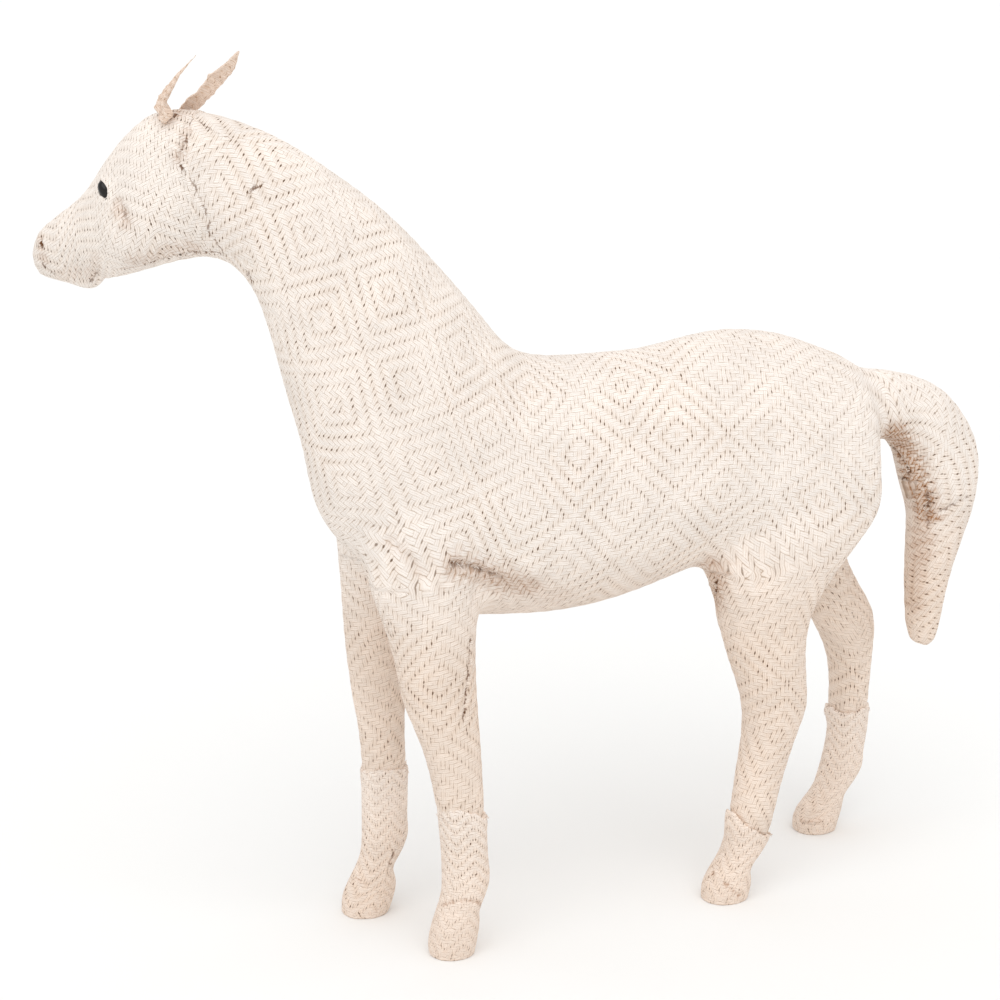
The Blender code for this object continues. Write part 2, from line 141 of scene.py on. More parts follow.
def straightened(spots):
    """Places in millimetres on the horse with its neck turned back in line with the trunk."""
    spots = spots * 1000.0 - FIGURE_ORIGIN
    neck = spots[:, 0] < NECK_TURN_AT
    x, y = spots[neck, 0], spots[neck, 1]
    past = (y[:, None] - NECK_LINE[1]) * np.sin(NECK_TURNS) - (x[:, None] - NECK_LINE[0]) * np.cos(NECK_TURNS)
    station = np.clip((past > 0).sum(1) - 1, 0, len(NECK_REACH) - 2)
    here = past[np.arange(len(x)), station]
    onward = here - past[np.arange(len(x)), station + 1]
    place = station + here / np.maximum(onward, 1e-9)
    at_turn = np.interp(place, NECK_REACH, NECK_TURNS)
    off_x = x - np.interp(place, NECK_REACH, NECK_LINE[0])
    off_y = y - np.interp(place, NECK_REACH, NECK_LINE[1])
    spots[neck, 0] = NECK_TURN_AT - place
    spots[neck, 1] = off_x * np.sin(at_turn) + off_y * np.cos(at_turn)
    return spots


def bent(spots):
    """The other way: places in millimetres on the straightened horse, given in metres where they are."""
    spots = np.array(spots, float)
    place = np.maximum(NECK_TURN_AT - spots[:, 0], 0.0)
    at_turn = np.interp(place, NECK_REACH, NECK_TURNS)
    line = [np.interp(place, NECK_REACH, run) for run in NECK_LINE]
    neck = place > 0
    x = np.where(neck, line[0] + spots[:, 1] * np.sin(at_turn), spots[:, 0])
    y = np.where(neck, line[1] + spots[:, 1] * np.cos(at_turn), spots[:, 1])
    return (np.stack([x, y, spots[:, 2]], 1) + FIGURE_ORIGIN) / 1000.0


def bow(angle, half_up, half_aside):
    """Length along an oval's edge from its side to an angle, where the half sizes are up and aside."""
    steps = 24
    total = np.zeros_like(angle)
    for step in range(steps):
        at = angle * (step + 0.5) / steps
        total += np.sqrt((half_up * np.cos(at)) ** 2 + (half_aside * np.sin(at)) ** 2)
    return total * angle / steps


def measured(spots, sections):
    """Where places lie on a form of oval sections: length along it, level, width share and the half sizes."""
    rows = filled_in(sections, 8)
    middle = (rows[:, 0:2] + rows[:, 2:4]) / 2
    rise = (rows[:, 0:2] - rows[:, 2:4]) / 2
    half_up = np.hypot(rise[:, 0], rise[:, 1])
    along = np.concatenate([[0.0], np.cumsum(np.hypot(*np.diff(middle, axis=0).T))])
    ahead = np.stack([-rise[:, 1], rise[:, 0]], 1) / half_up[:, None]
    if (np.diff(middle, axis=0) * ahead[1:]).sum() < 0:
        ahead = -ahead
    flat = spots[:, [0, 2]]
    past = flat @ ahead.T - (middle * ahead).sum(1)
    station = np.clip((past > 0).sum(1) - 1, 0, len(rows) - 2)
    pick = np.arange(len(spots))
    here = past[pick, station]
    share = np.clip(here / (here - past[pick, station + 1] + 1e-12), -6.0, 6.0)

    def at(values):
        return values[station] + (values[station + 1] - values[station]) * (
            share if values.ndim == 1 else share[:, None])
    up = at(half_up)
    level = ((flat - at(middle)) * at(rise)).sum(1) / up ** 2
    width = at(rows[:, 4]) * np.clip(1 - at(rows[:, 5]) * np.clip(level, -1, 1), 0.3, 2.0)
    return at(along), level, spots[:, 1] / width, up, at(rows[:, 4])


def leg_place(spots, corner, centre, leg):
    """On a leg: length round it from its outer side, height, and how far out from its middle line."""
    rows = filled_in(LEGS[leg], 4)
    outward = -1.0 if leg.startswith("left") else 1.0

    def shares(places):
        middle_x, depth, middle_y, width = (
            np.interp(places[:, 2], rows[:, 0], rows[:, column]) for column in (1, 2, 3, 4))
        return (places[:, 0] - middle_x) / depth, (places[:, 1] - middle_y) / width * outward, depth, width
    aft, out, depth, width = shares(spots)
    centre_aft, centre_out, _, _ = shares(centre)
    angle = np.arctan2(aft, out)[corner]
    centre_angle = np.arctan2(centre_aft, centre_out)
    angle = angle + 2 * pi * np.round((centre_angle - angle) / (2 * pi))
    height = spots[corner, 2]
    flat = eased((height - rows[-9, 0]) / (rows[-1, 0] - rows[-9, 0])) * eased(out[corner] / 0.5)
    length = bow(angle, depth[corner], width[corner])
    return length + flat * (aft[corner] * depth[corner] - length), height, np.hypot(centre_aft, centre_out)


def round_place(spots, corner, centre, sections):
    """On a form of oval sections: length along it, and round it from the left side line over its top."""
    along, level, share, up, aside = (values[corner] for values in measured(spots, sections))
    side = np.where(centre[:, 1] < 0, -1.0, 1.0)
    top = bow(np.full(len(up), pi / 2), up, aside)
    raised = bow(np.arctan2(level, share * side), up, aside)
    return along, np.where(side < 0, raised, 2 * top - raised)


# Where the tail's strands take over from the trunk's: the middle of its root, over what length the change
# comes, the level of its underside, and the x that parts it from the thighs below that level.
TAIL_ROOT = (345.0, -24.0, 388.0)
TAIL_CHANGE = 40.0
TAIL_UNDERSIDE = 320
TAIL_CLEAR = 396
# On the far thigh, which stands further back than the trunk's sections, the leg's strands go on up the
# buttock: from what x, over what length the change comes, and how far up.
BUTTOCK = (295.0, 45.0, 75.0)
LEG_REACH = 1.4  # how far from a leg's middle line its strands still hold, in half widths


def body_place(spots, corner, centre):
    """Length along the horse and length round it, carried on from the trunk into the tail and the legs."""
    along, raised = round_place(spots, corner, centre, TRUNK)
    here = spots[corner]
    one = np.array([0])

    tail_along, tail_raised = round_place(spots, corner, centre, TAIL)
    root = np.array([TAIL_ROOT])
    root_along, root_raised = round_place(root, one, root, TRUNK)
    high = here[:, 2] > TAIL_UNDERSIDE
    in_tail = eased((here[:, 0] - TAIL_ROOT[0]) / TAIL_CHANGE) * high + ~high * (here[:, 0] > TAIL_CLEAR)
    along = along + in_tail * (root_along - tail_along - along)
    raised = raised + in_tail * (root_raised + tail_raised - raised)

    for leg, rows in LEGS.items():
        outward = -1.0 if leg.startswith("left") else 1.0
        z, x, _, y, half = rows[-2]
        join = np.array([[x, -abs(y) - half, z]])
        join_along, join_raised = round_place(join, one, join, TRUNK)
        aft, height, out = leg_place(spots, corner, centre, leg)
        down = join_raised + height - z
        if outward > 0:
            _, _, _, up, aside = measured(join, TRUNK)
            down = 2 * bow(np.full(1, pi / 2), up, aside) - down
        behind = eased((here[:, 0] - BUTTOCK[0]) / BUTTOCK[1]) * (leg == "right_hind")
        share = np.clip((rows[-1][0] + BUTTOCK[2] * behind - height) / (rows[-1][0] - rows[-3][0]), 0.0, 1.0)
        apart = np.hypot(join_along - aft - along, down - raised)
        # the further apart the two numberings are, the shorter is the change from one to the other
        share = eased(0.5 + (share - 0.5) * (2.2 + (apart / 5.0) ** 3)) * (out < LEG_REACH + 0.2 * behind)
        along = along + share * (join_along - aft - along)
        raised = raised + share * (down - raised)
    return along, raised


# The count of rings along the horse and round it: at 400 mm from the rump, for each 200 mm more along it, for
# each 100 mm round it, and how much the run along it quickens.
RING_COUNTS = ((1.657, -4.923, -0.395, -0.245), (-0.622, 0.676, 2.144, 0.497))


def body_strands(spots, corner, centre):
    """Strand numbers, along and round the horse: whole repeats fall on the centres of the real rings."""
    along, raised = body_place(spots, corner, centre)
    s = (along - 400.0) / 200.0
    h = raised / 100.0
    count_along, count_round = (
        start + by_length * s + by_height * h + quicker * s ** 2
        for start, by_length, by_height, quicker in RING_COUNTS)
    return RINGS_ALONG * count_along, RINGS_ROUND * count_round


def there_and_back(value, turn):
    return turn - np.abs(value % (2 * turn) - turn)


def rib(u, v, rings_along, rings_round):
    """Height of the weave's diagonal ribs, from 0 in the rows of slits to 1 on the ribs between them."""
    step = there_and_back(u - 0.5, rings_along) + there_and_back(v - 0.5, rings_round)
    return 0.5 - 0.5 * np.cos(2 * pi * step / 4)


def corners_of(mesh):
    """Each face corner's vertex, and the face that it belongs to."""
    corner = np.empty(len(mesh.loops), int)
    mesh.loops.foreach_get("vertex_index", corner)
    totals = np.empty(len(mesh.polygons), int)
    mesh.polygons.foreach_get("loop_total", totals)
    return corner, np.repeat(np.arange(len(totals)), totals), totals


def spots_of(mesh, what="co"):
    spots = np.empty(len(mesh.vertices) * 3)
    mesh.vertices.foreach_get(what, spots)
    return spots.reshape(-1, 3)


def normals_of(mesh):
    return spots_of(mesh, "normal")


def lay_strands(mesh, strands):
    """Give the mesh a UV map whose unit is one strand, unrolled face by face."""
    spots = straightened(spots_of(mesh))
    corner, owner, totals = corners_of(mesh)
    starts = np.concatenate([[0], np.cumsum(totals)[:-1]])
    centre = np.add.reduceat(spots[corner], starts) / totals[:, None]
    u, v = strands(spots, corner, centre[owner])
    layer = mesh.uv_layers.new(name="strands")
    layer.data.foreach_set("uv", np.stack([u, v], 1).astype(np.float32).ravel())


def raise_weave(mesh, strands, rings_along, rings_round, depth):
    """Press the rows of slits into the mesh, along its normals."""
    spots = spots_of(mesh)
    flat = straightened(spots)
    u, v = strands(flat, np.arange(len(flat)), flat)
    press = depth * (rib(u, v, rings_along, rings_round) - RIB_MIDDLE)
    move_spots(mesh, spots + normals_of(mesh) * press[:, None])


def placed(name, data):
    """A new object in the scene, for a mesh, a lamp or a camera."""
    thing = bpy.data.objects.new(name, data)
    bpy.context.scene.collection.objects.link(thing)
    return thing


def placed_shape(name, shape):
    mesh = bpy.data.meshes.new(name)
    shape.to_mesh(mesh)
    shape.free()
    return placed(name, mesh)


def joined(node):
    """The form of a CAD node, its faces joined at their corners."""
    shape = bmesh.new()
    shape.from_mesh(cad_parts[node].data)
    bmesh.ops.remove_doubles(shape, verts=shape.verts, dist=1e-6)
    return shape


def skin_of(node, name, cell, softenings):
    """A fine, smooth skin with the form of a CAD node: its facets are rounded, then it is meshed evenly."""
    shape = joined(node)
    crease = shape.edges.layers.float.new("crease_edge")
    for edge in shape.edges:
        if len(edge.link_faces) == 2 and edge.calc_face_angle() > RIM_ANGLE:
            edge[crease] = 1.0
    piece = placed_shape(name, shape)
    rounded = piece.modifiers.new("round the facets", "SUBSURF")
    rounded.levels = rounded.render_levels = 2
    even = piece.modifiers.new("even mesh", "REMESH")
    even.mode = "VOXEL"
    even.voxel_size = cell
    soft = piece.modifiers.new("soften", "SMOOTH")
    soft.factor = 0.5
    soft.iterations = softenings
    graph = bpy.context.evaluated_depsgraph_get()
    finished = bpy.data.meshes.new_from_object(piece.evaluated_get(graph))
    piece.modifiers.clear()
    piece.data = finished
    finished.materials.clear()
    finished.shade_smooth()
    return piece


def move_spots(mesh, spots):
    mesh.vertices.foreach_set("co", spots.ravel())
    mesh.update()


def tuck(mesh, past, ahead, reach, push, swell):
    """Carry a rim on over its neighbour, or under it; past, reach, push and swell are in millimetres."""
    share = eased(1.0 - past / reach)
    normals = normals_of(mesh)
    normals -= (normals @ ahead)[:, None] * ahead
    lift = swell * share * (1.0 - 0.55 * share ** 6)  # rounded off at the very edge
    shift = (push * share)[:, None] * ahead + lift[:, None] * normals
    move_spots(mesh, spots_of(mesh) + shift * 0.001)


def near_path(path, flat, out):
    """How far places are from a path, on which side of it, and how far along it the nearest point lies."""
    path = np.array(path, float)
    away = np.full(len(flat), 1e9)
    run = np.zeros(len(flat))
    side = np.ones(len(flat))
    if len(path) == 1:
        return np.linalg.norm(flat - path[0], axis=1), side, run
    gone = 0.0
    for start, end in zip(path[:-1], path[1:]):
        step = end - start
        length = np.linalg.norm(step)
        share = np.clip((flat - start) @ step / length ** 2, 0.0, 1.0)
        off = flat - start - share[:, None] * step
        far = np.linalg.norm(off, axis=1)
        nearer = far < away
        away[nearer] = far[nearer]
        side[nearer] = np.sign((np.cross(step, out[nearer]) * off[nearer]).sum(1))
        run[nearer] = gone + share[nearer] * length
        gone += length
    return away, side, run


DARK_SEAM = 0.45
WIDE_SOFT_MARK = 3.4  # millimetres
THREAD_REACH = 6.0  # millimetres from a seam's line within which its thread may show
LIP_HEIGHT = 0.3  # of the depth of a seam
LIP_PLACE = 2.1  # from the line, in half widths of the seam, and so is the lip's own width
LIP_WIDTH = 0.9


def mark_seams(mesh, marks, finest):
    """Press seams, creases and stitch holes into a skin, with a low lip beside each, and note their shade.

    Each mark is a path on the straightened horse, its half width, its depth and how dark it is: narrow and
    above DARK_SEAM a sharp brown thread line, kept as the distances across and along it, else a soft tint,
    which is painted shade in folds, creases and hollows, and a faint line on a few seams.
    On a skin whose mesh is coarser than the line the distance keeps its sign, so that it stays straight.
    """
    spots = spots_of(mesh)
    flat = straightened(spots)
    normals = normals_of(mesh)
    out = straightened(spots + normals * 0.001) - flat
    shade_and_stain = np.zeros(len(spots))
    seam = np.zeros((len(spots), 3))
    seam[:, 0] = 9.0
    nearest = np.full(len(spots), 1e9)
    press = np.zeros(len(spots))
    for path, half, depth, dark in marks:
        low = np.min(path, axis=0) - 5 * half - 4
        top = np.max(path, axis=0) + 5 * half + 4
        close = np.flatnonzero(((flat > low) & (flat < top)).all(1))
        away, side, run = near_path(path, flat[close], out[close])
        # a line made by hand: its width wavers along it
        ragged = 1.0 + 0.28 * np.sin(run * 1.9 + half * 9) + 0.22 * np.sin(run * 0.83 + depth * 5)
        bell = np.exp(-(away / (half * ragged)) ** 2)
        lip = np.exp(-((away - LIP_PLACE * half) / (LIP_WIDTH * half)) ** 2)
        press[close] += depth * (LIP_HEIGHT * lip - bell)
        if dark > DARK_SEAM and half < WIDE_SOFT_MARK:
            picked = (away < nearest[close]) & (away < THREAD_REACH)
            chosen = close[picked]
            nearest[chosen] = away[picked]
            across = away[picked] * (1.0 if finest else side[picked])
            across += half * (0.5 * np.sin(run[picked] * 0.7 + half) + 0.3 * np.sin(run[picked] * 1.9))
            shade = dark * eased(2.0 - away[picked] * 2 / THREAD_REACH)
            seam[chosen] = np.stack([across / half, run[picked], shade], 1)
        else:
            # a soft mark: painted shade in a fold, crease or hollow, and on a few seams a faint line
            spread = np.minimum(1.7 * bell, 1.0) * np.clip(ragged, 0.5, 1.2)
            shade_and_stain[close] = np.maximum(shade_and_stain[close], dark * spread)
    move_spots(mesh, spots + normals * press[:, None] * 0.001)
    layer = mesh.attributes.new("shade_and_stain", "FLOAT", "POINT")
    layer.data.foreach_set("value", np.clip(shade_and_stain, 0, 1).astype(np.float32))
    layer = mesh.attributes.new("seam", "FLOAT_VECTOR", "POINT")
    layer.data.foreach_set("vector", seam.astype(np.float32).ravel())


def loose_ends(mesh, paths, thick, draw):
    """Add ends of strands that stand out along seams: short tapered stalks, rooted in the skin.

    Each path has the number of its ends and their mean length in millimetres.
    """
    shape = bmesh.new()
    shape.from_mesh(mesh)
    surface = BVHTree.FromBMesh(shape)
    for path, count, length in paths:
        points = [Vector(point) for point in bent(path)]
        for _ in range(count):
            at = draw.uniform(0, len(points) - 1.001)
            start, end = points[int(at)], points[int(at) + 1]
            root, normal, _, _ = surface.find_nearest(start.lerp(end, at % 1))
            lay = Vector((draw.gauss(0, 1), draw.gauss(0, 1), draw.gauss(0, 1)))
            lay = (lay - normal * lay.dot(normal)).normalized() + normal * draw.uniform(0.05, 0.5)
            size = length * draw.uniform(0.6, 1.4) * 0.001
            middle = root + lay.normalized() * size * 0.42 - normal * 0.0002
            place = Matrix.Translation(middle) @ lay.to_track_quat("Z", "Y").to_matrix().to_4x4()
            bmesh.ops.create_cone(shape, cap_ends=True, segments=5, radius1=thick * 0.0005,
                                  radius2=thick * 0.0003, depth=size, matrix=place)
    shape.to_mesh(mesh)
    shape.free()
    mesh.shade_smooth()


def linear(hex_colour):
    """An sRGB hex colour as linear red, green, blue and alpha."""
    shares = [int(hex_colour[at:at + 2], 16) / 255 for at in (0, 2, 4)]
    return (*(s / 12.92 if s <= 0.04045 else ((s + 0.055) / 1.055) ** 2.4 for s in shares), 1.0)


def add(tree, kind, inputs=(), **settings):
    """Add a node: inputs are values or sockets to link, by name or number; settings are its options."""
    node = tree.nodes.new(kind)
    for setting, value in settings.items():
        setattr(node, setting, value)
    pairs = inputs.items() if isinstance(inputs, dict) else enumerate(inputs)
    for place, value in pairs:
        if isinstance(value, bpy.types.NodeSocket):
            tree.links.new(value, node.inputs[place])
        else:
            node.inputs[place].default_value = value
    return node


def new_finish(name, roughness, shine=0.5):
    """A new material, its node tree and its shader."""
    material = bpy.data.materials.new(name)
    material.use_nodes = True
    shader = material.node_tree.nodes["Principled BSDF"]
    shader.inputs["Roughness"].default_value = roughness
    shader.inputs["Specular IOR Level"].default_value = shine
    return material, material.node_tree, shader


SEAM_COLOUR = "6A4527"
# the tint of the soft marks: painted shade in folds, creases and hollows, and faint seam lines
SHADE_AND_STAIN_TINT = "B58A62"
LOWER_TINT = "F8F0E9"  # the lower parts are tinted a little warmer and darker


def woven_paper(name, rings_along, rings_round, colours, fray, openness, lower_tint_levels):
    """Pairs of hand-twisted paper cords in a 2/2 twill that turns back every so many strands.

    Matt and slightly fibrous: rounded floats two strands long, each of two cords side by side, a small tan
    slit where four strands part, open here and nearly shut there, and a tone that differs from strand to
    strand, as twisted paper does.
    """
    slit, edge, shade, tone, high, valley = colours
    slit_width, slit_length = 0.20, 0.50  # half sizes, in strands
    material, tree, shader = new_finish(name, 0.8, 0.25)

    def calc(operation, *values):
        return add(tree, "ShaderNodeMath", values, operation=operation).outputs[0]
    plus, minus, times = (partial(calc, operation) for operation in ("ADD", "SUBTRACT", "MULTIPLY"))

    def mapped(value, low, high_end, to_low, to_high):
        return add(tree, "ShaderNodeMapRange", {"Value": value, 1: low, 2: high_end, 3: to_low, 4: to_high},
                   interpolation_type="SMOOTHSTEP").outputs[0]

    def mixed(share, under, over, blend_type="MULTIPLY"):
        return add(tree, "ShaderNodeMix", {0: share, 6: under, 7: over}, data_type="RGBA",
                   blend_type=blend_type).outputs[2]

    def swing(value, size):
        return times(minus(value, 0.5), size)

    def noise(at, scale, detail, **settings):
        return add(tree, "ShaderNodeTexNoise", {"Vector": at, "Scale": scale, "Detail": detail}, **settings)
    place = add(tree, "ShaderNodeUVMap", uv_map="strands").outputs[0]
    on_piece = add(tree, "ShaderNodeTexCoord").outputs["Object"]
    stray = noise(place, 0.45, 1.0, noise_dimensions="2D")
    parts = add(tree, "ShaderNodeSeparateXYZ", [place])
    drift = add(tree, "ShaderNodeSeparateColor", [stray.outputs["Color"]])
    u = plus(parts.outputs[0], swing(drift.outputs[0], fray))
    v = plus(parts.outputs[1], swing(drift.outputs[1], fray))

    def turns(value, scale):
        return calc("PINGPONG", value, float(scale))
    u_strand = calc("FLOOR", u)
    v_strand = calc("FLOOR", v)
    u_step = turns(minus(u, 0.5), rings_along)
    v_step = turns(minus(v, 0.5), rings_round)
    warp_wave = plus(turns(u_strand, rings_along), v_step)
    weft_wave = plus(u_step, turns(v_strand, rings_round))

    def lift(step, sign):
        wave = calc("SINE", times(plus(step, 0.5), pi / 2))
        return calc("MINIMUM", calc("MAXIMUM", times(wave, 1.5 * sign), -1.0), 1.0)

    def roundness(value):
        off = minus(calc("FRACT", value), 0.5)
        return minus(1.0, times(times(off, off), 4.0))
    # a float stands high where its twill wave does, and is rounded across
    warp_lift = lift(warp_wave, 1.0)
    weft_lift = lift(weft_wave, -1.0)
    warp = plus(times(warp_lift, 0.5), times(roundness(u), 0.5))
    weft = plus(times(weft_lift, 0.5), times(roundness(v), 0.5))
    weave = calc("MAXIMUM", warp, weft)
    warp_on_top = calc("GREATER_THAN", warp, weft)
    weft_on_top = minus(1.0, warp_on_top)
    top_lift = calc("MAXIMUM", warp_lift, weft_lift)
    top_round = times(minus(weave, times(0.5, top_lift)), 2.0)
    crossing = calc("ABSOLUTE", minus(warp, weft))
    outline = calc("MINIMUM", top_round, times(crossing, 2.2))

    # the groove between a float's two cords gets painted shade through the same ramp
    def cords_of(value):
        return roundness(times(value, 2.0))
    cords = plus(times(cords_of(u), warp_on_top), times(cords_of(v), weft_on_top))
    outline = calc("MAXIMUM", outline, mapped(drift.outputs[2], 0.40, 0.62, 0.0, 0.34))
    outline = calc("MINIMUM", outline, mapped(cords, 0.0, 0.5, 0.05, 1.0))

    # the slits, where four strands part
    u_corner = calc("ROUND", u)
    v_corner = calc("ROUND", v)
    corner_step = plus(turns(minus(u_corner, 0.5), rings_along), turns(minus(v_corner, 0.5), rings_round))
    from_row = calc("ABSOLUTE", minus(calc("MODULO", corner_step, 4.0), 2.0))
    off_row = calc("LESS_THAN", from_row, 1.5)
    off_u = calc("DIVIDE", minus(u, u_corner), slit_width)
    off_v = calc("DIVIDE", minus(v, v_corner), slit_length)
    off_slit = plus(times(off_u, off_u), times(off_v, off_v))
    hole = mapped(off_slit, 0.25, 1.0, 1.0, 0.0)
    corner_id = add(tree, "ShaderNodeCombineXYZ", [u_corner, v_corner]).outputs[0]
    own_slit = add(tree, "ShaderNodeTexWhiteNoise", {"Vector": corner_id}, noise_dimensions="2D").outputs[0]
    worn = noise(on_piece, 16.0, 2.0).outputs[0]
    own_share = plus(0.15 * openness, times(own_slit, 0.75 * openness))
    open_share = times(own_share, mapped(worn, 0.36, 0.60, 0.5, 1.1))
    hole = times(times(hole, minus(1.0, off_row)), open_share)

    # a tone of its own for each strand, for each patch of cloth and for the fibres
    strand_ids = add(tree, "ShaderNodeCombineXYZ", [
        times(u_strand, warp_on_top), times(v_strand, weft_on_top), warp_on_top]).outputs[0]
    own_tone = add(tree, "ShaderNodeTexWhiteNoise", {"Vector": strand_ids}, noise_dimensions="3D").outputs[0]
    patch = noise(on_piece, 26.0, 3.0).outputs[0]
    fibre = noise(place, 3.2, 4.0, noise_dimensions="2D").outputs[0]

    # the colours from a strand's edge to its top, in place of the ramp's own two stops: a dark joint line at
    # the edge, painted shade where the float rounds down to it, and a painted highlight on its top
    ramp = add(tree, "ShaderNodeValToRGB", [outline])
    for place_on_ramp, colour in ((0.0, edge), (0.13, shade), (0.36, tone), (0.87, high)):
        stop = ramp.color_ramp.elements.new(place_on_ramp)
        stop.color = linear(colour)
    for _ in range(2):
        ends = sorted(ramp.color_ramp.elements, key=lambda stop: sum(stop.color[:3]) in (0.0, 3.0))
        ramp.color_ramp.elements.remove(ends[-1])
    # painted shade: the rows of slits, the low lines pressed into the ribs, are darkened in patches by the
    # valley colour
    row = calc("COSINE", times(plus(u_step, v_step), pi / 2))
    in_row = plus(times(row, 0.5), 0.5)
    rowed = mixed(times(in_row, mapped(worn, 0.3, 0.7, 0.2, 0.6)), ramp.outputs[0], linear(valley))
    vary = plus(swing(own_tone, 0.06), plus(swing(patch, 0.22), swing(fibre, 0.20)))
    grey = add(tree, "ShaderNodeCombineColor", [plus(1.0, vary)] * 3).outputs[0]
    toned = mixed(1.0, rowed, grey)
    slitted = mixed(hole, toned, linear(slit), "MIX")

    # the painted shade and stains of the soft marks lie deeper in the low places, and seams show broken lines
    # of brown thread
    shade_and_stain = add(tree, "ShaderNodeAttribute", attribute_name="shade_and_stain").outputs["Fac"]
    lowness = plus(fibre, times(minus(weave, 0.7), -0.5))
    uneven = mapped(lowness, 0.3, 0.75, 0.55, 1.5)
    shaded_and_stained = mixed(times(shade_and_stain, uneven), slitted, linear(SHADE_AND_STAIN_TINT))
    across, run, dark = add(tree, "ShaderNodeSeparateXYZ", [
        add(tree, "ShaderNodeAttribute", attribute_name="seam").outputs["Vector"]]).outputs
    stitches = add(tree, "ShaderNodeTexNoise", {"W": run, "Scale": 0.16, "Detail": 2.0},
                   noise_dimensions="1D").outputs[0]
    frayed = plus(calc("ABSOLUTE", across), swing(fibre, 2.0))
    thread = times(mapped(frayed, 0.35, 0.95, 1.0, 0.0), mapped(stitches, 0.43, 0.55, 0.12, 1.0))
    seamed = mixed(times(thread, dark), shaded_and_stained, linear(SEAM_COLOUR), "MIX")
    level = add(tree, "ShaderNodeSeparateXYZ", [on_piece]).outputs[2]
    # the lower parts are tinted warmer and a little darker, fading out between the given levels
    coloured = mixed(mapped(level, *lower_tint_levels, 1.0, 0.0), seamed, linear(LOWER_TINT))
    tree.links.new(coloured, shader.inputs["Base Color"])

    flat_top = calc("MINIMUM", weave, 0.6)
    height = plus(minus(flat_top, hole), plus(times(cords, 0.3), times(fibre, 0.5)))
    bump = add(tree, "ShaderNodeBump", {"Strength": 0.7, "Distance": 0.0004, "Height": height})
    tree.links.new(bump.outputs[0], shader.inputs["Normal"])
    return material


COVER_COLOURS = ("654932", "A48D79", "D0C1B3", "EAE0D7", "F0E8E1", "F3EAE1")
cover_paper = woven_paper("hand_twisted_paper_cloth", RINGS_ALONG, RINGS_ROUND, COVER_COLOURS,
                          0.5, 1.0, (0.22, 0.34))

# Where the head cover and the sleeves end.  The head's seam: its x at a level, and its lean.  The cuffs:
# middle x, level in front and behind at CUFF_REACH away, then how far the cuff rises at some x.
HOOD_SEAM = (-209.0, 602.0, -0.1515)
BACKWARD = np.array([cos(NECK_TURN), -sin(NECK_TURN), 0.0])
UP = np.array([0.0, 0.0, 1.0])
CUFFS = {
    "left_fore": (-44, 107, 111, [(-62, 8), (-53, 11), (-44, 11), (-31, 5), (-22, -2)]),
    "right_fore": (-66, 114, 116, [(-82, 0), (-73, 5), (-60, 5), (-47, 2)]),
    "left_hind": (215, 74, 43, [(207, 8), (213, 2), (220, -1), (228, -4)]),
    "right_hind": (358, 97, 104, [(350, 3), (358, 4), (366, 0), (380, 2)]),
}
CUFF_REACH = 47.0
FAR_OFF = 99.0  # for places that a rim doesn't concern
LEG_BOX = (45, 40, 180)  # a leg near its cuff: how far from its middle line in x and y, and below what level
NECK_END = (-150, 480)  # the neck near the head: in front of what x, and above what level


def past_hood(flat):
    at_x, at_z, lean = HOOD_SEAM
    return at_x + (flat[:, 2] - at_z) * lean - flat[:, 0]


def past_cuff(flat, leg):
    """How far places are below a leg's cuff."""
    x, front, back, _ = CUFFS[leg]
    return front + (back - front) * (flat[:, 0] - x + CUFF_REACH) / (2 * CUFF_REACH) - flat[:, 2]


def near_leg(flat, leg):
    rows = np.array(LEGS[leg])
    x = np.interp(flat[:, 2], rows[:, 0], rows[:, 1])
    y = np.interp(flat[:, 2], rows[:, 0], rows[:, 3])
    aft, aside, high = LEG_BOX
    return (np.abs(flat[:, 0] - x) < aft) & (np.abs(flat[:, 1] - y) < aside) & (flat[:, 2] < high)


